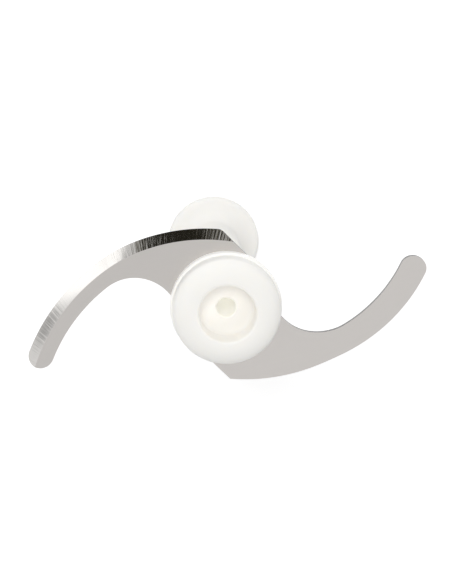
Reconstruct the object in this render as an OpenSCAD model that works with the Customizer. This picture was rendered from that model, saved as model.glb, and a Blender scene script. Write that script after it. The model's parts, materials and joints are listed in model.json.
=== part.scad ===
// Food processor blade: an S-shaped steel blade with a long white plastic
// hub moulded round its middle. It stands on the flat grip end of the hub,
// with the drive end up. Millimetres.

/* [Blade outline] */
// Distance from the hub axis to the centre of each rounded wing tip
tip_reach = 80.2; // [76:0.2:90]
// Radius of the rounded wing tip
tip_r = 5.3; // [4.5:0.1:6]
// Radius of the long convex cutting edge
edge_r = 79.5; // [77:0.5:83]
// Radius of the concave back edge beside the tip
back_r = 67.5; // [65:0.5:70]
// Angle at which the wing leaves its tip, measured from the line of the tips
tip_angle = 35.4; // [33:0.1:38]
// Radius of the round bay between the hub and the back edge
bay_r = 19.5; // [17:0.1:21]
// Direction from the centre of the back edge to the centre of the bay
bay_angle = 67; // [64:0.1:70]
// How far past the hub axis the cutting edge runs before the root corner
root_overrun = 5.6; // [3:0.1:9]
// Slope of the straight cut from the root corner to the hub
root_angle = 58.4; // [50:0.1:65]
// Width of the flat that breaks one wing's root corner
root_break = 2.4; // [0.5:0.1:3]

/* [Blade sheet] */
// Thickness of the steel
sheet_t = 1.8; // [1.2:0.1:2.5]
// Width of the ground bevel along the cutting edge
bevel_w = 4.4; // [3:0.1:6]
// Thickness left at the ground edge
edge_land = 0.15; // [0.1:0.05:0.4]
// Distance from the hub axis at which each wing starts to bend
bend_start = 32.5; // [30:0.5:38]
// Length over which the wing bends
bend_run = 12; // [8:1:18]
// Angle by which the outer wings lean towards the drive end
bend_angle = 14.6; // [4:0.2:18]

/* [Hub stem] */
// Height of the blade's drive side above the grip end
blade_z = 125; // [100:1:150]
// Radius of the stem where it meets the collar
stem_r_collar = 14; // [12:0.5:17]
// Radius of the stem above the grip disc
stem_r_grip = 12; // [9:0.5:14]
// Radius of the collar under the blade
collar_r = 22.6; // [21:0.1:23.5]
// Height of the collar under the blade
collar_h = 4; // [3:0.5:7]
// Radius of the fillet between the stem and the collar
collar_fillet = 6; // [3:0.5:7]

/* [Grip disc] */
// Radius of the grip disc
grip_r = 22.3; // [20:0.1:26]
// Height of the grip disc
grip_h = 7; // [5:0.5:10]
// Rounding of the grip disc's edges
grip_round = 2; // [1:0.5:2.4]
// Radius of the flare between the grip disc and the stem
flare_r = 8; // [5:0.5:8]

/* [Drive end] */
// Radius of the rim that lies on the blade
rim_r = 23.8; // [23.6:0.1:27]
// Height of the rim
rim_h = 4; // [3:0.5:6]
// Rounding of the rim's and the collar's edges
rim_round = 1; // [0.5:0.1:1.4]
// Radius of the drum above the rim
drum_r = 22.9; // [21:0.1:23.5]
// Height of the drum's crest above the blade
drum_h = 15; // [13:0.5:20]
// Outer rounding of the drum's crest
crest_outer = 4.5; // [3:0.5:5.5]
// Inner rounding of the drum's crest
crest_inner = 3.5; // [2:0.5:4.5]
// Radius of the round recess in the drum
recess_r = 12.1; // [10:0.1:13]
// Thickness of plastic between the blade and the recess floor
floor_h = 3.5; // [2.5:0.5:6]
// Radius of the fillet round the recess floor
recess_fillet = 1.5; // [0.5:0.5:3]

/* [Drive bore] */
// Radius of the drive bore
bore_r = 4.2; // [3:0.1:6]
// Length of the round stretch of the drive bore
bore_len = 30; // [15:1:40]
// Depth of the two driving flats below the round stretch
flat_depth = 1; // [0.6:0.1:1.4]
// Step from the round stretch to the stretch with the flats
flat_step = 0.4; // [0.2:0.1:0.5]
// Length of the stretch with the driving flats
flats_len = 16; // [8:1:25]
// Chamfer at the mouth of the bore
bore_chamfer = 0.5; // [0.3:0.1:1]

/* [Hidden] */
$fn = 96;

// The blade's other side, and the levels of the drive end
blade_back_z = blade_z - sheet_t;
floor_z = blade_z + floor_h;
crest_z = blade_z + drum_h;
collar_z = blade_back_z - collar_h;

// Arcs that run into each other cross by this much, far too little to see
blend_step = 0.02;
tip_step = 0.005;

// Centres of the arcs of one wing, whose tip lies on +X
edge_c = [tip_reach, 0] + (edge_r - tip_r) * [-cos(tip_angle), sin(tip_angle)];
back_c = [tip_reach, 0] + (back_r + tip_r) * [-cos(tip_angle), sin(tip_angle)];
bay_c = back_c + (back_r - bay_r + blend_step) * [cos(bay_angle), -sin(bay_angle)];

// Root corner, on the cutting edge just past the hub axis, the direction to
// it from the edge's centre, and the line that breaks it
root_dir = -acos((-root_overrun - edge_c[0]) / edge_r);
root = edge_c + edge_r * [cos(root_dir), sin(root_dir)];
root_turn = (root_dir + 90 + root_angle) / 2;
break_line = 180 - root_angle + root_turn;
break_depth = root_break / 2 * tan(root_turn);

// The wing's root stops on this line, well under the rim
root_top_y = -8;
// Disc that joins the two roots this far inside the collar, and the hole
// that the plastic fills to lock the blade
core_inset = 2;
core_r = collar_r - core_inset;
lock_hole_r = 9;

// Radius of the bend, and the number of flat steps that it is made of
bend_r = bend_run / sin(bend_angle);
bend_steps = 6;

// The bevel's tool follows the cutting edge in this many straight steps, and
// runs this far past the root corner and the tip
bevel_steps = 40;
run_out = asin(8 / edge_r);

// Larger than the blade, and a small overlap for cuts
far = 200;
eps = 0.01;

// Half plane to the right of a line through p that leans by an angle
module right_of(p, angle) {
    translate(p) rotate(angle - 90) translate([0, -far]) square([far, 2 * far]);
}

module disc(c, r) {
    translate(c) circle(r, $fn = 180);
}

// The narrow outer part of the wing, between the cutting edge and the back
module wing_blade() {
    difference() {
        intersection() {
            disc(edge_c, edge_r);
            right_of(back_c, 180 - bay_angle);
        }
        disc(back_c, back_r);
        tip_cut();
    }
    disc([tip_reach, 0], tip_r + tip_step);
}

// Everything past the line square to the wing at the tip's centre
module tip_cut() {
    translate([tip_reach, 0]) rotate(-tip_angle) translate([-far, 0]) square([2 * far, far]);
}

// The wide inner part of the wing, from the bay to the root corner
module wing_root(broken_corner) {
    difference() {
        intersection() {
            disc(edge_c, edge_r);
            right_of(root, 180 - root_angle);
            if (broken_corner) {
                right_of(root + break_depth * [sin(break_line), -cos(break_line)], break_line);
            }
            difference() {
                translate([-far, -far]) square([2 * far, far + root_top_y]);
                right_of(back_c + [eps, 0], 180 - bay_angle);
            }
        }
        disc(bay_c, bay_r);
    }
}

// Lean of the sheet at distance x from the hub axis, and its lift there
function lean(x) = asin(max(0, min(x - bend_start, bend_run)) / bend_r);
function lift(x) = bend_r * (1 - cos(lean(x))) + max(0, x - bend_start - bend_run) * tan(bend_angle);

// Side view of the sheet: one face, then the other on the way back
module side_view() {
    stations = [-far, for (i = [0:bend_steps]) bend_start + i * bend_run / bend_steps, far];
    back_to_front = [for (i = [1:len(stations)]) stations[len(stations) - i]];
    polygon([
        for (x = stations) [x, lift(x)],
        for (x = back_to_front) [x - sheet_t * sin(lean(x)), lift(x) + sheet_t * cos(lean(x))]
    ]);
}

// Wing as it is stamped and bent, before it is ground
module wing(broken_corner) {
    intersection() {
        translate([0, 0, blade_back_z - far])
            linear_extrude(2 * far) {
                wing_blade();
                wing_root(broken_corner);
            }
        translate([0, far, blade_back_z]) rotate([90, 0, 0]) linear_extrude(2 * far) side_view();
    }
}

// Point of the bevel's tool, in a direction from the centre of the cutting
// edge, out past the edge and up from the middle of the sheet
function tool_point(direction, out, up) =
    let (x = edge_c[0] + (edge_r + out) * cos(direction))
    let (y = edge_c[1] + (edge_r + out) * sin(direction))
    [x, y, blade_back_z + lift(x) + (sheet_t / 2 + up) / cos(lean(x))];

// What the grinding wheel takes off: a three-sided bar swept along the
// cutting edge, on the side towards the drive end or on the other
module bevel_tool(drive_side) {
    slope = (sheet_t - edge_land) / bevel_w;
    top = sheet_t / 2 + slope;
    corners = [[-bevel_w - 1, top], [1, edge_land - sheet_t / 2 - slope], [1, top]];
    side = drive_side ? 1 : -1;
    from = root_dir - run_out;
    step = (run_out - tip_angle - from) / bevel_steps;
    points = [
        for (i = [0:bevel_steps], corner = corners)
            tool_point(from + i * step, corner[0], side * corner[1])
    ];
    last = 3 * bevel_steps;
    faces = [
        for (i = [0:3:last - 1], k = [0:2]) [i + k, i + (k + 1) % 3, i + 3 + (k + 1) % 3, i + 3 + k],
        [2, 1, 0],
        [last, last + 1, last + 2]
    ];
    inside_out = [for (face = faces) [for (i = [1:len(face)]) face[len(face) - i]]];
    polyhedron(points, drive_side ? faces : inside_out);
}

// Both wings, and the disc inside the hub that joins them, with a hole that
// the plastic fills
module blade_sheet() {
    difference() {
        union() {
            wing(false);
            rotate(180) wing(true);
            translate([0, 0, blade_back_z]) cylinder(h = sheet_t, r = core_r);
        }
        translate([0, 0, blade_back_z - 1]) cylinder(h = sheet_t + 2, r = lock_hole_r);
    }
}

// The wing on +X is ground on the side away from the drive end, the other
// on the side towards it
module blade() {
    color([0.78, 0.76, 0.74])
        difference() {
            blade_sheet();
            bevel_tool(false);
            rotate(180) bevel_tool(true);
        }
}

// Half section of a disc with both outer edges rounded
module rounded_disc(r, z, h, round) {
    translate([0, z]) square([r - round, h]);
    translate([0, z + round]) square([r, h - 2 * round]);
    for (level = [z + round, z + h - round]) {
        translate([r - round, level]) circle(round, $fn = 48);
    }
}

// Concave fillet round a stem of radius r that stands on or hangs from z
module fillet(r, z, size, up) {
    centre_z = z + (up ? size : -size);
    low_z = up ? z - eps : z - size;
    difference() {
        translate([0, low_z]) square([r + size, size + eps]);
        translate([r + size, centre_z]) circle(size, $fn = 96);
    }
}

module grip_section() {
    rounded_disc(grip_r, 0, grip_h, grip_round);
    fillet(stem_r_grip, grip_h, flare_r, true);
}

module stem_section() {
    polygon([
        [0, grip_h - 1],
        [stem_r_grip, grip_h - 1],
        [stem_r_grip, grip_h + flare_r],
        [stem_r_collar, collar_z - collar_fillet],
        [stem_r_collar, collar_z + 1],
        [0, collar_z + 1]
    ]);
    fillet(stem_r_collar, collar_z, collar_fillet, false);
}

// Collar under the blade and rim on top of it, one moulding round the steel
module clamp_section() {
    rounded_disc(collar_r, collar_z, collar_h + sheet_t + rim_h, rim_round);
    rounded_disc(rim_r, blade_z, rim_h, rim_round);
    translate([0, blade_z]) square([rim_r, rim_h / 2]);
}

// Drum with a softly rounded crest round the recess
module drum_section() {
    outer_r = drum_r - crest_outer;
    inner_r = recess_r + crest_inner;
    translate([0, blade_z + 1]) square([drum_r, drum_h - 1 - crest_outer]);
    translate([inner_r, blade_z + 1]) square([outer_r - inner_r, drum_h - 1]);
    translate([outer_r, crest_z - crest_outer]) circle(crest_outer, $fn = 96);
    translate([inner_r, crest_z - crest_inner]) circle(crest_inner, $fn = 96);
    translate([recess_r, blade_z + 1]) square([crest_inner, drum_h - 1 - crest_inner]);
}

// Recess, with a fillet round its floor
module recess_section() {
    translate([0, floor_z + recess_fillet])
        square([recess_r, drum_h]);
    translate([0, floor_z]) square([recess_r - recess_fillet, drum_h]);
    translate([recess_r - recess_fillet, floor_z + recess_fillet])
        circle(recess_fillet, $fn = 48);
}

module hub_section() {
    difference() {
        union() {
            grip_section();
            stem_section();
            clamp_section();
            drum_section();
        }
        recess_section();
    }
}

// Round bore with a chamfered mouth, and two driving flats further down
module drive_bore() {
    round_z = floor_z - bore_len;
    translate([0, 0, round_z]) cylinder(h = bore_len + 1, r = bore_r);
    translate([0, 0, floor_z - bore_chamfer])
        cylinder(h = bore_chamfer + eps, r1 = bore_r, r2 = bore_r + bore_chamfer + eps);
    flats_r = bore_r - flat_step;
    flats_w = 2 * (bore_r - flat_depth);
    intersection() {
        translate([0, 0, round_z - flats_len]) cylinder(h = flats_len + 1, r = flats_r);
        translate([-bore_r, -flats_w / 2, round_z - flats_len])
            cube([2 * bore_r, flats_w, flats_len + 1]);
    }
}

module hub() {
    color([0.95, 0.95, 0.92])
        difference() {
            rotate_extrude($fn = 180) hub_section();
            drive_bore();
            blade_sheet();
        }
}

blade();
hub();
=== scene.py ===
"""Food processor blade: a satin steel blade with ground cutting edges, in a white plastic hub."""

import json
from math import acos, asin, atan2, cos, hypot, pi, radians, sin, tan

import bmesh
import bpy
import numpy as np
from mathutils import Matrix, Vector
from mathutils.geometry import delaunay_2d_cdt

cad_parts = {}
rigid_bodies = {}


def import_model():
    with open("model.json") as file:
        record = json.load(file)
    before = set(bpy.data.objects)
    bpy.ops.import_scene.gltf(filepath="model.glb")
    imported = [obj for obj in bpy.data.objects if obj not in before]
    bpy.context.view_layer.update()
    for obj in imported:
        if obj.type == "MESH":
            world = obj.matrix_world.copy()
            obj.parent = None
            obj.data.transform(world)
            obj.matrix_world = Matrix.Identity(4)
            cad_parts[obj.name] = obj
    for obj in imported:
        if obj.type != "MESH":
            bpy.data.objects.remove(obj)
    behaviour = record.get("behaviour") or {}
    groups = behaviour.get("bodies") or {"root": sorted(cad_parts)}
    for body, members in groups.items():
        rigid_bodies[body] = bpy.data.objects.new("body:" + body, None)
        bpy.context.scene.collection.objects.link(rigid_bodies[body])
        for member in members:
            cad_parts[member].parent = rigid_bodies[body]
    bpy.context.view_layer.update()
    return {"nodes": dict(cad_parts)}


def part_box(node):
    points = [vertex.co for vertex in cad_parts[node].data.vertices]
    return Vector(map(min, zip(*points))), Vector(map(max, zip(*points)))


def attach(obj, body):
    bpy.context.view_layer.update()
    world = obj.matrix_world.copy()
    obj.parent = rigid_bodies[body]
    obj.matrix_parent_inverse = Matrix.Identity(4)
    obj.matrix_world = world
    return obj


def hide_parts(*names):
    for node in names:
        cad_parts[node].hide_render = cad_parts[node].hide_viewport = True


MM = 0.001

# Blade outline, in millimetres: one wing has its tip on +X, the other is the same turned half a turn.
# The cutting edge and the back are arcs tangent to the tip's. The edge runs past the hub axis to the
# root's corner, where the straight diagonal cut starts, and the back turns into the bay beside the hub.
# Only the corner on -X is rounded
TIP_REACH = 80.2
TIP_R = 5.3
EDGE_R = 79.5
BACK_R = 67.5
TIP_ANGLE = radians(35.4)
BAY_R = 19.5
BAY_ANGLE = radians(67)
ROOT_OVERRUN = 5.6
ROOT_ANGLE = radians(58.4)
ROOT_ROUND = 3.5

# Blade sheet: its thickness, the bevel's width, what is left of the thickness at the sharp edge, and
# where each wing starts to bend up, over what distance and how far
SHEET_T = 1.8
BEVEL_W = 4.4
EDGE_LAND = 0.15
BEND_START = 32.5
BEND_RUN = 12
BEND_ANGLE = radians(14.6)

# Where the steel lies inside the hub: how far from the X axis the wings' outlines turn into the middle
# disc, the disc's radius and its lock hole's
ROOT_TOP = 8
CORE_R = 20.6
LOCK_HOLE_R = 9

# A line through the hub at this angle parts the two wings
PARTING_ANGLE = radians(23)

# Blade mesh: its steps, how far its grid reaches and how near it may come to a line, how far the bevel's
# lines run past its ends, how near two points may lie before they count as one, and the angle that makes
# an edge sharp
ARC_STEP = 1.0
GRID_STEP = 1.5
GRID_REACH = 90
GRID_CLEARANCE = 0.8
BEVEL_OVERRUN = 9
PLAN_WELD = 1e-5
BLADE_SHARP = radians(12)

# The kind of triangulation that fills the whole hull of its points
WHOLE_HULL = 0

# The blade's materials in their order: the flats, the bevels and the cut edges
SATIN = 0
GROUND = 1
CUT_EDGE = 2

# The hub's drive end: the bore, the recess and the height of its floor, the drum, and the height of the
# steel's face, on which the rim lies
BORE_R = 4.2
RECESS_R = 12.1
RECESS_FLOOR = 128.5
DRUM_R = 22.9
STEEL_TOP = 125

# The drum's crest: the solid's outer and inner rounding, the broad dome that takes the outer one's
# place, the tight edge that takes the inner one's, and how far past a rounding's ends a point still
# belongs to it
CREST_OUTER = 4.5
CREST_INNER = 3.5
DOME_W = 9.2
DOME_H = 5.1
MOUTH_ROUND = 1.2
CREST_SLACK = 0.01

# Hub mesh: how near two points may lie before they count as one, and the angle that makes an edge sharp
HUB_WELD = 0.001
HUB_SHARP = radians(30)

# The noise of every finish: how rough it is, and the value it swings about
NOISE_ROUGHNESS = 0.55
NOISE_MIDDLE = 0.5

# Satin finish: how far its scratches are drawn out, the size of its mottle and the scratches' share in
# it, and how much the mottle changes the roughness. Painted shade: the wing on this side is painted a
# little lighter and the other wing a little darker
SCRATCH_STRETCH = 0.05
MOTTLE_SCALE = 55
SCRATCH_SHARE = 0.6
MOTTLE_ROUGHNESS = 0.12
PAINTED_LIGHTER_SIDE = (0.5, -0.87, 0)
WING_PAINTED_SHADES = (0.96, 1.04)

# Strokes of the grinding wheel on the bevel, coarse and fine ones: how far they lean from the square to
# the edge, how little they change across it, their sizes, and how much the fine ones darken and lighten
STROKE_LEAN = radians(12)
STROKE_STRETCH = 0.05
COARSE_SCALE = 0.9
FINE_SCALE = 2.4
FINE_SPAN = (0.3, 0.7)
FINE_TONES = (-0.07, 0.05)

# Near the bend the wheel comes to lie flatter on the steel, at the sharp edge sooner than further in,
# and past the bend it leaves the steel slightly crowned: where each comes in along the edge, by how much
# the flatter stretch lags for each millimetre inward, its slope, and the crown's curve
FLATTER = (33, 47)
FLATTER_LEAN = 0.7
FLATTER_SLOPE = 0.08
CROWNED = (58, 74)
CROWN_CURVE = 0.012

# The wheel chatters at the root: the distance between its marks, how far they wander with the strokes,
# where they fade away, from which height to which a mark turns rough, and how rough
CHATTER_STEP = 1.45
CHATTER_WANDER = 1.5
CHATTER_FADE = (2, 12.5)
CHATTER_SPAN = (0, 0.9)
CHATTER_ROUGHNESS = 0.09

# Where the strokes grow calm along the edge and where they show again, and what is left of them between
# and after
CALM_START = (45, 52)
CALM_END = (76, 88)
CALM_SHARE = 0.1
LATER_SHARE = 0.6

# Where single fine strokes begin to show as rougher lines, which of them do, and how rough they are
SCORED = (15, 31)
SCORE_SPAN = (0.5, 0.72)
SCORE_ROUGHNESS = 0.16

# Each steel finish: its colour, its roughness and the values of its marks, with depths in millimetres
FLAT_STEEL = {
    "colour": (0.772, 0.74, 0.712),
    "roughness": 0.38,
    "marks": {"Scratch Scale": 900, "Scratch Depth": 0.002, "Mottle": 0.05},
}
GROUND_STEEL = {
    "colour": (0.88, 0.858, 0.83),
    "roughness": 0.08,
    "marks": {"Stroke Depth": 0.038, "Fine Depth": 0.012, "Chatter Depth": 0.004},
}
# The cut edge is painted dark: partly the stamped edge's own duller fracture, partly painted shade for the
# dark reflections along it
CUT_STEEL = {
    "colour": (0.13, 0.128, 0.125),
    "roughness": 0.3,
    "marks": {"Scratch Scale": 900, "Scratch Depth": 0.004, "Mottle": 0.05},
}

# The plastic: its two whites and the size of their clouds, its grain, its surface, and how light spreads
# in its wax, and the painted shade that darkens the recess's white
PLASTIC_WHITES = ((0.937, 0.917, 0.875, 1), (0.962, 0.945, 0.905, 1))
CLOUD_SCALE = 45
GRAIN_SCALE = 2600
GRAIN_DEPTH = 0.02
GRAIN_STRENGTH = 0.15
PLASTIC_ROUGHNESS = 0.42
PLASTIC_IOR = 1.45
WAX_WEIGHT = 0.45
WAX_RADIUS = (1.0, 0.95, 0.85)
WAX_DEPTH = 3
RECESS_PAINTED_SHADE = 0.972

# Painted light: a glow in the bore, in the recess, and in the rim and the drum's foot that lightens the
# shade there: its colours, how soft its edges are, and how far down the bore and up from the steel it
# reaches
BORE_PAINTED_LIGHT = (0.165, 0.1665, 0.155)
RECESS_PAINTED_LIGHT = (0.068, 0.065, 0.062)
FOOT_PAINTED_LIGHT = (0.225, 0.221, 0.212)
GLOW_EDGE = 0.5
BORE_LIT = 30
FOOT_LIT = 6

# The side that gets most of that painted light, and how far to that side it is full in the recess. It
# changes from the recess's other side to this one, from the bore's deep end to its mouth, and from the
# bore's other side to this one, by these shares
PAINTED_LIGHT_SIDE = (-0.3, 0.95, 0)
RECESS_LIT = 8
RECESS_SIDE_SHARES = (0, 2)
BORE_DEPTH_SHARES = (1.1, 0.65)
BORE_SIDE_SHARES = (0.8, 1.12)

# Centres of the arcs of the wing on +X, its root's corner, and the radius to which the sheet is bent
TIP = np.array([TIP_REACH, 0.0])
FROM_TIP = np.array([-cos(TIP_ANGLE), sin(TIP_ANGLE)])
EDGE_C = TIP + (EDGE_R - TIP_R) * FROM_TIP
BACK_C = TIP + (BACK_R + TIP_R) * FROM_TIP
BAY_C = BACK_C + (BACK_R - BAY_R) * np.array([cos(BAY_ANGLE), -sin(BAY_ANGLE)])
ROOT_DIR = -acos((-ROOT_OVERRUN - EDGE_C[0]) / EDGE_R)
ROOT = EDGE_C + EDGE_R * np.array([cos(ROOT_DIR), sin(ROOT_DIR)])
BEND_R = BEND_RUN / sin(BEND_ANGLE)

# The photograph's view: the way to the camera and its roll, its distance in metres, the point it looks
# at, and its lens, with the focal length in the photograph's pixels
VIEW_AZIMUTH = radians(177.8)
VIEW_ELEVATION = radians(75)
VIEW_ROLL = radians(168.8)
VIEW_DISTANCE = 0.7
VIEW_AIM = Vector((1.4, 5.3, 123.55)) * MM
SENSOR_W = 36
FOCAL_PIXELS = 1645
PHOTO_W = 452

# Soft light from all round on the plastic and the floor, and by how much it is stronger from the view's
# right and from its top
SOFT_LIGHT = 0.68
SOFT_LEAN = (-0.03, 0.17)

# Light of the white ceiling in reflections. On it hang soft-edged cards that only reflections show: each
# one's middle and half sizes in degrees right of and above the way from the part to the camera, where
# its edge starts and ends as shares of those half sizes, and the light in it as a share of the
# ceiling's. The first card is dark
CEILING = 0.72
CARDS = (
    {"middle": (-4.4, 22), "half_sizes": (20.5, 13), "edge": (0.87, 1.37), "light": 0.014},
    {"middle": (5.5, 5.2), "half_sizes": (9.5, 7), "edge": (0.4, 1.4), "light": 1.7},
    {"middle": (-1.4, -5.7), "half_sizes": (4.4, 4.4), "edge": (0.25, 1.5), "light": 0.49},
)

# The warmth in the dark card's middle, and how quickly it fades toward the edge
DARK_TINT = (1.1, 0.97, 0.6, 1)
TINT_POWER = 4

# The least that a direction may point to the camera's side when its angles are worked out
LEAST_OUTWARD = 0.01

# The lamp that lights the hub: degrees right of and above the way to the camera, metres and watts
LAMP_ANGLES = (-6, 12)
LAMP_DISTANCE = 1.4
LAMP_SIZE = 0.6
LAMP_POWER = 7.0

# The floor: how far it reaches, in metres, its white, and the glow that the camera and reflections see
FLOOR_REACH = 3.0
FLOOR_WHITE = (0.8, 0.8, 0.8, 1)
FLOOR_GLOW = 0.42


def arc(centre, radius, start, stop):
    """Points of an arc, both ends included, about ARC_STEP apart."""
    count = max(2, round(abs(stop - start) * radius / ARC_STEP)) + 1
    return [centre + radius * np.array([cos(a), sin(a)]) for a in np.linspace(start, stop, count)]


def rounded_corner(corner, before, after, radius):
    """Arc of a given radius in place of a corner, between the directions of its two sides."""
    half_turn = (after - before) / 2
    back = radius * tan(half_turn)
    start = corner - back * np.array([cos(before), sin(before)])
    centre = start + radius * np.array([-sin(before), cos(before)])
    return arc(centre, radius, before - pi / 2, after - pi / 2)


def half_outline(rounded_root):
    """One wing from its root's corner round the tip to the disc inside the hub, anticlockwise."""
    bay_end = asin((-ROOT_TOP - BAY_C[1]) / BAY_R)
    core_turn = asin(ROOT_TOP / CORE_R)
    other_x = ROOT_OVERRUN + (-ROOT[1] - ROOT_TOP) / tan(ROOT_ANGLE)
    edge = arc(EDGE_C, EDGE_R, ROOT_DIR, -TIP_ANGLE)
    if rounded_root:
        before = -ROOT_ANGLE
        after = ROOT_DIR + pi / 2
        taken = ROOT_ROUND * tan((after - before) / 2) + ARC_STEP / 2
        corner = rounded_corner(ROOT, before, after, ROOT_ROUND)
        edge = corner + [p for p in edge if hypot(*(p - ROOT)) > taken]
    tip = arc(TIP, TIP_R, -TIP_ANGLE, pi - TIP_ANGLE)
    back = arc(BACK_C, BACK_R, -TIP_ANGLE, -BAY_ANGLE)
    bay = arc(BAY_C, BAY_R, -BAY_ANGLE, -pi - bay_end)
    core = arc(np.zeros(2), CORE_R, -core_turn, core_turn)
    return edge + tip[1:] + back[1:] + bay[1:] + core + [np.array([other_x, ROOT_TOP])]


def inside(points, loop):
    """Which of the points lie inside a closed loop."""
    x, y = points[:, 0], points[:, 1]
    found = np.zeros(len(points), bool)
    for (x1, y1), (x2, y2) in zip(loop, np.roll(loop, -1, axis=0)):
        crosses = (y1 > y) != (y2 > y)
        with np.errstate(divide="ignore", invalid="ignore"):
            found ^= crosses & (x < (x2 - x1) * (y - y1) / (y2 - y1) + x1)
    return found


def wing_frame(x, y):
    """A point of either wing, as it lies on the wing on +X, and which wing it is on."""
    on_first = x * cos(PARTING_ANGLE) > y * sin(PARTING_ANGLE)
    return (x, y, 1) if on_first else (-x, -y, -1)


def lean(x):
    """Angle by which the sheet leans at a distance x from the hub axis."""
    return asin(min(max(x - BEND_START, 0), BEND_RUN) / BEND_R)


def lift(x):
    """Height of the sheet's lower face above the flat middle."""
    past = max(0, x - BEND_START - BEND_RUN)
    return BEND_R * (1 - cos(lean(x))) + past * tan(BEND_ANGLE)


def from_edge(x, y):
    """How far inside the cutting edge a point of the wing on +X lies."""
    return EDGE_R - hypot(x - EDGE_C[0], y - EDGE_C[1])


def ground_depth(x, y):
    """How deep the grinding wheel cut at a point of the wing on +X."""
    slope = (SHEET_T - EDGE_LAND) / BEVEL_W
    return min(max(0, BEVEL_W - from_edge(x, y)) * slope, SHEET_T - EDGE_LAND)


def fill_points(outline, lines):
    """Staggered grid of points inside the outline that keep clear of the lines."""
    steps = np.arange(-GRID_REACH, GRID_REACH, GRID_STEP)
    grid = np.array([(x + (j % 2) * GRID_STEP / 2, y) for j, y in enumerate(steps) for x in steps])
    grid = grid[inside(grid, outline)]
    fixed = np.vstack(lines)
    gap = np.array([np.hypot(*(fixed - p).T).min() for p in grid])
    return grid[gap > GRID_CLEARANCE]


def plan_mesh():
    """Plan of the blade as one triangulation that holds its outline, lock hole and bevel lines."""
    right = np.array(half_outline(rounded_root=False))
    left = -np.array(half_outline(rounded_root=True))
    outline = np.vstack([right, left])
    hole = np.array(arc(np.zeros(2), LOCK_HOLE_R, 0, 2 * pi)[:-1])
    overrun = BEVEL_OVERRUN / EDGE_R
    bevel = np.array(arc(EDGE_C, EDGE_R - BEVEL_W, ROOT_DIR - overrun, overrun - TIP_ANGLE))
    points = []
    edges = []
    for line, closed in ((outline, True), (hole, True), (bevel, False), (-bevel, False)):
        first = len(points)
        points += [Vector(p) for p in line]
        edges += [(first + i, first + i + 1) for i in range(len(line) - 1)]
        if closed:
            edges.append((first + len(line) - 1, first))
    points += [Vector(p) for p in fill_points(outline, [outline, hole, bevel, -bevel])]
    plan, _, faces, *_ = delaunay_2d_cdt(points, edges, [], WHOLE_HULL, PLAN_WELD)
    plan = np.array(plan)
    middles = np.array([plan[list(face)].mean(axis=0) for face in faces])
    hole_reach = LOCK_HOLE_R * cos(ARC_STEP / LOCK_HOLE_R / 2)
    keep = inside(middles, outline) & (np.hypot(*middles.T) > hole_reach)
    faces = [face for face, kept in zip(faces, keep) if kept]
    used = sorted({i for face in faces for i in face})
    order = {old: new for new, old in enumerate(used)}
    return plan[used], [tuple(order[i] for i in face) for face in faces]


def sheet_points(plan, low_z):
    """Low and high points of the bent and ground sheet, and their places along and in from the edge."""
    low = []
    high = []
    along = []
    across = []
    for x, y in plan:
        wx, wy, wing = wing_frame(x, y)
        base = low_z + lift(wx)
        steep = cos(lean(wx))
        cut = ground_depth(wx, wy) / steep
        low.append((x, y, base + (cut if wing > 0 else 0)))
        high.append((x, y, base + SHEET_T / steep - (0 if wing > 0 else cut)))
        turn = atan2(wy - EDGE_C[1], wx - EDGE_C[0]) - ROOT_DIR
        along.append(turn * EDGE_R)
        across.append(from_edge(wx, wy))
    return low + high, along * 2, across * 2


def sheet_faces(faces, count):
    """Faces of the sheet's high side, of its low side and round its cut edge, in this order."""
    sides = dict.fromkeys(side for a, b, c in faces for side in ((a, b), (b, c), (c, a)))
    high = [tuple(i + count for i in face) for face in faces]
    low = [tuple(reversed(face)) for face in faces]
    rim = [(a, b, b + count, a + count) for a, b in sides if (b, a) not in sides]
    return high + low + rim


def steel_finish(polygon, side_count):
    """Which material a face of the sheet has, as each wing is ground on one side only."""
    if polygon.index >= 2 * side_count:
        return CUT_EDGE
    middle = polygon.center / MM
    wx, wy, wing = wing_frame(middle.x, middle.y)
    on_high_side = polygon.index < side_count
    ground_side = on_high_side if wing < 0 else not on_high_side
    return GROUND if ground_side and from_edge(wx, wy) < BEVEL_W else SATIN


def blade_mesh(low_z):
    """The bent and ground blade as one closed mesh, with its places along and across the edge."""
    plan, faces = plan_mesh()
    points, along, across = sheet_points(plan, low_z)
    mesh = bpy.data.meshes.new("blade_sheet")
    mesh.from_pydata([Vector(p) * MM for p in points], [], sheet_faces(faces, len(plan)))
    for name, values in (("along_edge", along), ("across_edge", across)):
        layer = mesh.attributes.new(name, "FLOAT", "POINT")
        layer.data.foreach_set("value", np.array(values, np.float32))
    for polygon in mesh.polygons:
        polygon.use_smooth = True
        polygon.material_index = steel_finish(polygon, len(faces))
    mesh.set_sharp_from_angle(angle=BLADE_SHARP)
    mesh.validate()
    return mesh


def shaped_crest(r, z, top):
    """Where a point of the solid's crest lies once its outer rounding is wider and its inner tighter."""
    depth = top - z
    if r > DRUM_R - CREST_OUTER - CREST_SLACK and depth < CREST_OUTER + CREST_SLACK:
        return DRUM_R - (DRUM_R - r) * DOME_W / CREST_OUTER, top - depth * DOME_H / CREST_OUTER
    outward = r - RECESS_R
    if -CREST_SLACK < outward < CREST_INNER + CREST_SLACK and depth < CREST_INNER + CREST_SLACK:
        tighter = MOUTH_ROUND / CREST_INNER
        return RECESS_R + outward * tighter, top - depth * tighter
    return r, z


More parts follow.
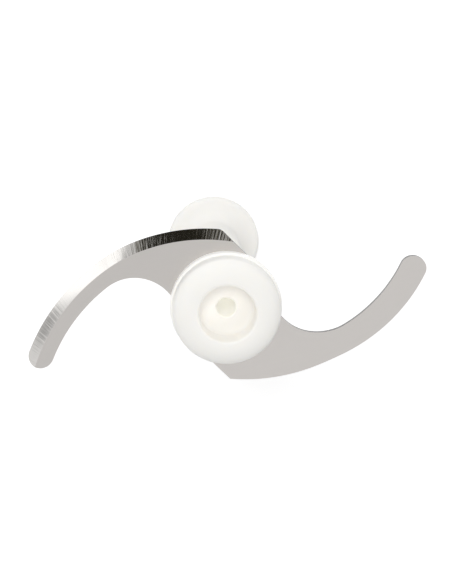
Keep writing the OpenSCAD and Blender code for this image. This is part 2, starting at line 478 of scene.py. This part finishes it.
def hub_mesh(solid):
    """A copy of the hub's solid, with the roundings of its crest as the photograph shows them."""
    shape = bmesh.new()
    shape.from_mesh(solid)
    bmesh.ops.remove_doubles(shape, verts=shape.verts, dist=HUB_WELD * MM)
    top = max(vert.co.z for vert in shape.verts) / MM
    places = []
    for vert in shape.verts:
        r = hypot(vert.co.x, vert.co.y) / MM
        new_r, new_z = shaped_crest(r, vert.co.z / MM, top)
        outward = new_r / r if r > 0 else 1
        places.append((vert.co.x * outward, vert.co.y * outward, new_z * MM))
    shape.verts.index_update()
    faces = [[vert.index for vert in face.verts] for face in shape.faces]
    shape.free()
    mesh = bpy.data.meshes.new("hub_moulding")
    mesh.from_pydata(places, [], faces)
    for polygon in mesh.polygons:
        polygon.use_smooth = True
    mesh.set_sharp_from_angle(angle=HUB_SHARP)
    mesh.validate()
    return mesh


class Tree:
    """Adds nodes to a node tree, with their values and links in one call."""

    def __init__(self, tree):
        self.tree = tree

    def link(self, output, socket):
        self.tree.links.new(output, socket)

    def feed(self, socket, value):
        """Links a socket to another node's output, or sets its own value."""
        if isinstance(value, bpy.types.NodeSocket):
            self.link(value, socket)
        else:
            socket.default_value = value

    def add(self, kind, settings=None, **inputs):
        """A new node. An input is named with _ for a space, or numbered as i0, i1 and so on."""
        node = self.tree.nodes.new(kind)
        for name, value in (settings or {}).items():
            setattr(node, name, value)
        for name, value in inputs.items():
            key = int(name[1:]) if name[0] == "i" and name[1:].isdigit() else name.replace("_", " ")
            self.feed(node.inputs[key], value)
        return node

    def math(self, operation, a, b=0.0, clamp=False):
        settings = {"operation": operation, "use_clamp": clamp}
        return self.add("ShaderNodeMath", settings, i0=a, i1=b).outputs[0]

    def vector(self, operation, a, b=(0.0, 0.0, 0.0)):
        """Vector arithmetic that gives a vector."""
        return self.add("ShaderNodeVectorMath", {"operation": operation}, i0=a, i1=b).outputs["Vector"]

    def measure(self, operation, a, b=(0.0, 0.0, 0.0)):
        """Vector arithmetic that gives a number."""
        return self.add("ShaderNodeVectorMath", {"operation": operation}, i0=a, i1=b).outputs["Value"]

    def scale(self, vector, factor):
        node = self.add("ShaderNodeVectorMath", {"operation": "SCALE"}, i0=vector, Scale=factor)
        return node.outputs["Vector"]

    def remap(self, value, low, high, to_low, to_high, smooth=False):
        settings = {"interpolation_type": "SMOOTHSTEP" if smooth else "LINEAR"}
        inputs = {"Value": value, "From_Min": low, "From_Max": high, "To_Min": to_low, "To_Max": to_high}
        return self.add("ShaderNodeMapRange", settings, **inputs).outputs["Result"]

    def noise(self, place, scale, detail, flat=False):
        settings = {"noise_dimensions": "2D" if flat else "3D"}
        inputs = {"Vector": place, "Scale": scale, "Detail": detail, "Roughness": NOISE_ROUGHNESS}
        return self.add("ShaderNodeTexNoise", settings, **inputs).outputs[0]

    def attribute(self, name):
        return self.add("ShaderNodeAttribute", {"attribute_name": name}).outputs["Fac"]

    def mix(self, factor, a, b):
        """Mixes two colours."""
        node = self.add("ShaderNodeMix", {"data_type": "RGBA"})
        sockets = {socket.identifier: socket for socket in node.inputs}
        for key, value in (("Factor_Float", factor), ("A_Color", a), ("B_Color", b)):
            self.feed(sockets[key], value)
        return next(socket for socket in node.outputs if socket.identifier == "Result_Color")

    def place_group(self, group, values):
        """Places a node group with its own values, and gives its outputs."""
        node = self.add("ShaderNodeGroup", {"node_tree": group})
        for name, value in values.items():
            node.inputs[name].default_value = value
        return node.outputs


def blank_tree(owner):
    """The emptied node tree of a material or a world."""
    owner.use_nodes = True
    owner.node_tree.nodes.clear()
    return Tree(owner.node_tree)


def new_group(name, inputs, outputs):
    """An empty shader node group, with numbers as its named sockets."""
    group = bpy.data.node_groups.new(name, "ShaderNodeTree")
    for direction, sockets in (("INPUT", inputs), ("OUTPUT", outputs)):
        for socket in sockets:
            group.interface.new_socket(socket, in_out=direction, socket_type="NodeSocketFloat")
    given = group.nodes.new("NodeGroupInput").outputs
    result = group.nodes.new("NodeGroupOutput").inputs
    return group, Tree(group), given, result


def satin_and_shade_group():
    """Fine short scratches and a soft mottle, as rolling and polishing leave on sheet steel, and painted
    shade that makes one wing lighter than the other.
    """
    inputs = ("Scratch Scale", "Scratch Depth", "Mottle")
    outputs = ("Height", "Tone", "Roughness")
    group, tree, given, result = new_group("satin_finish_and_painted_shade", inputs, outputs)
    place = tree.add("ShaderNodeTexCoord").outputs["Object"]
    stretched = tree.vector("MULTIPLY", place, (SCRATCH_STRETCH, 1.0, 1.0))
    scratches = tree.noise(stretched, given["Scratch Scale"], detail=3.0)
    clouds = tree.noise(place, MOTTLE_SCALE, detail=4.0)
    grain = tree.math("MULTIPLY", tree.math("SUBTRACT", scratches, NOISE_MIDDLE), SCRATCH_SHARE)
    mottle = tree.math("ADD", tree.math("SUBTRACT", clouds, NOISE_MIDDLE), grain)
    # Painted shade: the steel is painted lighter toward one wing and darker toward the other
    to_side = tree.measure("DOT_PRODUCT", place, PAINTED_LIGHTER_SIDE)
    wing_painted_shade = tree.remap(to_side, -CORE_R * MM, CORE_R * MM, *WING_PAINTED_SHADES, smooth=True)
    tone = tree.math("ADD", wing_painted_shade, tree.math("MULTIPLY", mottle, given["Mottle"]))
    tree.link(tree.math("MULTIPLY", scratches, given["Scratch Depth"]), result["Height"])
    tree.link(tone, result["Tone"])
    tree.link(tree.math("MULTIPLY", mottle, MOTTLE_ROUGHNESS), result["Roughness"])
    return group


def wheel_height(tree, along, across):
    """Height that the wheel took off the bevel where it lay flatter and where it left a crown."""
    inward = tree.math("SUBTRACT", across, BEVEL_W / 2)
    reached = tree.math("SUBTRACT", along, tree.math("MULTIPLY", inward, FLATTER_LEAN))
    flatter = tree.remap(reached, *FLATTER, 0.0, -FLATTER_SLOPE, smooth=True)
    crown = tree.remap(along, *CROWNED, 0.0, -CROWN_CURVE / 2, smooth=True)
    crowned = tree.math("MULTIPLY", crown, tree.math("MULTIPLY", inward, inward))
    return tree.math("ADD", tree.math("MULTIPLY", flatter, across), crowned)


def stroke_share(tree, along):
    """How much of the strokes shows along the edge."""
    calm = tree.remap(along, *CALM_START, 1.0, CALM_SHARE, smooth=True)
    later = tree.remap(along, *CALM_END, 0.0, LATER_SHARE - CALM_SHARE, smooth=True)
    return tree.math("ADD", calm, later)


def grind_group():
    """Marks of the grinding wheel, from a place's distances along and across the cutting edge."""
    inputs = ("Stroke Depth", "Fine Depth", "Chatter Depth")
    outputs = ("Height", "Tone", "Roughness")
    group, tree, given, result = new_group("grinding_marks", inputs, outputs)
    along = tree.attribute("along_edge")
    across = tree.attribute("across_edge")
    strokes = tree.math("SUBTRACT", along, tree.math("MULTIPLY", across, tan(STROKE_LEAN)))
    stretched = tree.math("MULTIPLY", across, STROKE_STRETCH)
    place = tree.add("ShaderNodeCombineXYZ", X=strokes, Y=stretched).outputs[0]
    coarse = tree.noise(place, COARSE_SCALE, detail=1.0, flat=True)
    fine = tree.noise(place, FINE_SCALE, detail=1.0, flat=True)
    turn = tree.math("MULTIPLY", strokes, 2 * pi / CHATTER_STEP)
    chatter = tree.math("SINE", tree.math("ADD", turn, tree.math("MULTIPLY", coarse, CHATTER_WANDER)))
    fade = tree.remap(along, *CHATTER_FADE, 1.0, 0.0, smooth=True)
    shown = stroke_share(tree, along)
    height = wheel_height(tree, along, across)
    for marks, share, depth in (
        (coarse, shown, "Stroke Depth"),
        (fine, shown, "Fine Depth"),
        (chatter, fade, "Chatter Depth"),
    ):
        cut = tree.math("MULTIPLY", tree.math("MULTIPLY", marks, share), given[depth])
        height = tree.math("ADD", height, cut)
    shade = tree.math("MULTIPLY", tree.remap(fine, *FINE_SPAN, *FINE_TONES), shown)
    crests = tree.remap(chatter, *CHATTER_SPAN, 0.0, CHATTER_ROUGHNESS, smooth=True)
    scored = tree.math("MULTIPLY", tree.remap(along, *SCORED, 0.0, 1.0, smooth=True), shown)
    scores = tree.remap(fine, *SCORE_SPAN, 0.0, SCORE_ROUGHNESS, smooth=True)
    rough = tree.math("ADD", tree.math("MULTIPLY", crests, fade), tree.math("MULTIPLY", scores, scored))
    tree.link(height, result["Height"])
    tree.link(tree.math("ADD", shade, 1.0), result["Tone"])
    tree.link(rough, result["Roughness"])
    return group


def new_material(name):
    """A material with one Principled shader."""
    material = bpy.data.materials.new(name)
    tree = blank_tree(material)
    shader = tree.add("ShaderNodeBsdfPrincipled")
    tree.add("ShaderNodeOutputMaterial", Surface=shader.outputs[0])
    return material, tree, shader.inputs


def steel_material(name, group, colour, roughness, marks):
    """Stainless steel, with the marks that a node group puts on it."""
    material, tree, shader = new_material(name)
    finish = tree.place_group(group, marks)
    bump = tree.add("ShaderNodeBump", Strength=1.0, Distance=MM, Height=finish["Height"])
    shader["Metallic"].default_value = 1.0
    tree.link(tree.scale(colour, finish["Tone"]), shader["Base Color"])
    tree.link(tree.math("ADD", finish["Roughness"], roughness), shader["Roughness"])
    tree.link(bump.outputs[0], shader["Normal"])
    return material


def hub_zones(tree, place):
    """How far from the axis and how high a place is, and if it is above the steel and in the recess."""
    from_axis = tree.measure("LENGTH", tree.vector("MULTIPLY", place, (1.0, 1.0, 0.0)))
    height = tree.add("ShaderNodeSeparateXYZ", Vector=place).outputs["Z"]
    above_steel = tree.math("GREATER_THAN", height, STEEL_TOP * MM)
    near_axis = tree.remap(from_axis, RECESS_R * MM, (RECESS_R + MOUTH_ROUND) * MM, 1.0, 0.0, smooth=True)
    in_recess = tree.math("MULTIPLY", near_axis, above_steel)
    return {"from_axis": from_axis, "height": height, "above_steel": above_steel, "in_recess": in_recess}


def painted_plastic_light(tree, place, zones):
    """Painted light: a glow that lightens the shade in the bore, in the recess and round the drum's foot.
    """
    in_bore = tree.remap(zones["from_axis"], BORE_R * MM, (BORE_R + GLOW_EDGE) * MM, 1.0, 0.0, smooth=True)
    bore_end = (RECESS_FLOOR - BORE_LIT) * MM
    deep = tree.remap(zones["height"], bore_end, RECESS_FLOOR * MM, *BORE_DEPTH_SHARES)
    to_side = tree.measure("DOT_PRODUCT", place, PAINTED_LIGHT_SIDE)
    sided = tree.remap(to_side, -BORE_R * MM, BORE_R * MM, *BORE_SIDE_SHARES)
    bore = tree.math("MULTIPLY", tree.math("MULTIPLY", in_bore, deep), sided)
    round_bore = tree.math("SUBTRACT", zones["in_recess"], in_bore, clamp=True)
    one_side = tree.remap(to_side, -RECESS_LIT * MM, RECESS_LIT * MM, *RECESS_SIDE_SHARES, smooth=True)
    recess = tree.math("MULTIPLY", round_bore, one_side)
    on_drum = tree.remap(zones["from_axis"], (DRUM_R - GLOW_EDGE) * MM, DRUM_R * MM, 0.0, 1.0)
    low = tree.remap(zones["height"], STEEL_TOP * MM, (STEEL_TOP + FOOT_LIT) * MM, 1.0, 0.0)
    foot = tree.math("MULTIPLY", tree.math("MULTIPLY", on_drum, low), zones["above_steel"])
    glow = tree.vector("ADD", tree.scale(BORE_PAINTED_LIGHT, bore), tree.scale(RECESS_PAINTED_LIGHT, recess))
    return tree.vector("ADD", glow, tree.scale(FOOT_PAINTED_LIGHT, foot))


def plastic_material():
    """Waxy natural white plastic, with painted light in its bore, recess and foot, and painted shade in its
    recess.
    """
    material, tree, shader = new_material("hub_plastic_white")
    place = tree.add("ShaderNodeTexCoord").outputs["Object"]
    clouds = tree.noise(place, CLOUD_SCALE, detail=3.0)
    grain = tree.noise(place, GRAIN_SCALE, detail=2.0)
    white = tree.mix(clouds, *PLASTIC_WHITES)
    zones = hub_zones(tree, place)
    # Painted shade: the white is painted a little darker in the recess
    tone = tree.remap(zones["in_recess"], 0.0, 1.0, 1.0, RECESS_PAINTED_SHADE)
    bump = tree.add("ShaderNodeBump", Strength=GRAIN_STRENGTH, Distance=GRAIN_DEPTH * MM, Height=grain)
    tree.link(tree.scale(white, tone), shader["Base Color"])
    tree.link(bump.outputs[0], shader["Normal"])
    # The plastic's emission is painted light, not a lamp
    tree.link(painted_plastic_light(tree, place, zones), shader["Emission Color"])
    shader["Emission Strength"].default_value = 1.0
    shader["Roughness"].default_value = PLASTIC_ROUGHNESS
    shader["IOR"].default_value = PLASTIC_IOR
    shader["Subsurface Weight"].default_value = WAX_WEIGHT
    shader["Subsurface Radius"].default_value = WAX_RADIUS
    shader["Subsurface Scale"].default_value = WAX_DEPTH * MM
    return material


def add_object(name, data):
    thing = bpy.data.objects.new(name, data)
    bpy.context.scene.collection.objects.link(thing)
    return thing


def dress_blade():
    """The blade, smooth along its bend, in place of the solid."""
    low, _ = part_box("blade")
    mesh = blade_mesh(low.z / MM)
    satin = satin_and_shade_group()
    mesh.materials.append(steel_material("steel_satin", satin, **FLAT_STEEL))
    mesh.materials.append(steel_material("steel_ground", grind_group(), **GROUND_STEEL))
    mesh.materials.append(steel_material("steel_cut_edge", satin, **CUT_STEEL))
    blade = add_object("blade_sheet", mesh)
    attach(blade, "root")
    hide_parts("blade")


def dress_hub(frame):
    """The hub, with the photograph's crest, in place of the solid."""
    mesh = hub_mesh(frame["nodes"]["hub"].data)
    mesh.materials.append(plastic_material())
    hub = add_object("hub_moulding", mesh)
    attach(hub, "root")
    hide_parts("hub")


def add_floor():
    """White floor that looks as bright as the background to the camera and in reflections."""
    corners = [(x * FLOOR_REACH, y * FLOOR_REACH, 0) for x, y in ((-1, -1), (1, -1), (1, 1), (-1, 1))]
    mesh = bpy.data.meshes.new("floor")
    mesh.from_pydata(corners, [], [(0, 1, 2, 3)])
    material = bpy.data.materials.new("floor_white")
    tree = blank_tree(material)
    paint = tree.add("ShaderNodeBsdfDiffuse", Color=FLOOR_WHITE)
    rays = tree.add("ShaderNodeLightPath").outputs
    seen = tree.math("MAXIMUM", rays["Is Camera Ray"], rays["Is Glossy Ray"])
    glow = tree.add("ShaderNodeEmission", Strength=tree.math("MULTIPLY", seen, FLOOR_GLOW))
    both = tree.add("ShaderNodeAddShader", i0=paint.outputs[0], i1=glow.outputs[0])
    tree.add("ShaderNodeOutputMaterial", Surface=both.outputs[0])
    mesh.materials.append(material)
    add_object("floor", mesh)


def add_camera():
    """The camera at the photograph's view, and its directions to the right, up and back."""
    back = Vector((
        cos(VIEW_ELEVATION) * sin(VIEW_AZIMUTH),
        -cos(VIEW_ELEVATION) * cos(VIEW_AZIMUTH),
        sin(VIEW_ELEVATION),
    ))
    level = Vector((cos(VIEW_AZIMUTH), sin(VIEW_AZIMUTH), 0))
    rise = back.cross(level)
    right = level * cos(VIEW_ROLL) + rise * sin(VIEW_ROLL)
    up = back.cross(right)
    data = bpy.data.cameras.new("camera")
    data.sensor_fit = "HORIZONTAL"
    data.sensor_width = SENSOR_W
    data.lens = FOCAL_PIXELS * SENSOR_W / PHOTO_W
    camera = add_object("camera", data)
    turn = Matrix((right, up, back)).transposed().to_4x4()
    camera.matrix_world = Matrix.Translation(VIEW_AIM + back * VIEW_DISTANCE) @ turn
    bpy.context.scene.camera = camera
    return right, up, back


def add_lamp(view_axes):
    """A large soft lamp, which no reflection shows."""
    right, up, back = view_axes
    to_right, to_up = (tan(radians(angle)) for angle in LAMP_ANGLES)
    way = (right * to_right + up * to_up + back).normalized()
    data = bpy.data.lights.new("key_lamp", "AREA")
    data.shape = "DISK"
    data.size = LAMP_SIZE
    data.energy = LAMP_POWER
    lamp = add_object("key_lamp", data)
    lamp.location = VIEW_AIM + way * LAMP_DISTANCE
    lamp.rotation_euler = way.to_track_quat("Z", "Y").to_euler()
    lamp.visible_glossy = False


def view_angles(tree, direction, view_axes):
    """How many degrees a direction lies right of and above the way to the camera."""
    rightward, upward, outward = (tree.measure("DOT_PRODUCT", direction, tuple(axis)) for axis in view_axes)
    outward = tree.math("MAXIMUM", outward, LEAST_OUTWARD)
    angles = []
    for part in (rightward, upward):
        angle = tree.math("ARCTANGENT", tree.math("DIVIDE", part, outward))
        angles.append(tree.math("MULTIPLY", angle, 180 / pi))
    return tree.add("ShaderNodeCombineXYZ", X=angles[0], Y=angles[1]).outputs[0]


def card_share(tree, place, card):
    """How far a place on the ceiling lies inside a soft-edged oval card."""
    shift = tree.vector("SUBTRACT", place, (*card["middle"], 0))
    from_middle = tree.measure("LENGTH", tree.vector("DIVIDE", shift, (*card["half_sizes"], 1)))
    return tree.remap(from_middle, *card["edge"], 1.0, 0.0, smooth=True)


def add_world(view_axes):
    """White studio with cards on its ceiling, which the polished bevel shows."""
    world = bpy.data.worlds.new("studio")
    bpy.context.scene.world = world
    tree = blank_tree(world)
    direction = tree.add("ShaderNodeTexCoord").outputs["Generated"]
    place = view_angles(tree, direction, view_axes)
    shares = [card_share(tree, place, card) for card in CARDS]
    lit = CEILING
    for share, card in zip(shares, CARDS):
        lit = tree.math("MULTIPLY", lit, tree.remap(share, 0.0, 1.0, 1.0, card["light"]))
    right, up, _ = view_axes
    leaning = tree.measure("DOT_PRODUCT", direction, tuple(right * SOFT_LEAN[0] + up * SOFT_LEAN[1]))
    soft = tree.math("MULTIPLY", tree.math("ADD", leaning, 1.0), SOFT_LIGHT)
    rays = tree.add("ShaderNodeLightPath").outputs
    mirrored = tree.math("MULTIPLY", tree.math("SUBTRACT", lit, soft), rays["Is Glossy Ray"])
    strength = tree.math("MAXIMUM", tree.math("ADD", soft, mirrored), rays["Is Camera Ray"])
    dark = tree.math("MULTIPLY", tree.math("POWER", shares[0], TINT_POWER), rays["Is Glossy Ray"])
    tint = tree.mix(dark, (1, 1, 1, 1), DARK_TINT)
    background = tree.add("ShaderNodeBackground", Color=tint, Strength=strength)
    tree.add("ShaderNodeOutputWorld", Surface=background.outputs[0])


def clear_scene():
    for thing in list(bpy.data.objects):
        bpy.data.objects.remove(thing)


clear_scene()
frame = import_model()
dress_blade()
dress_hub(frame)
add_floor()
view_axes = add_camera()
add_world(view_axes)
add_lamp(view_axes)
bpy.context.scene.view_settings.view_transform = "Standard"
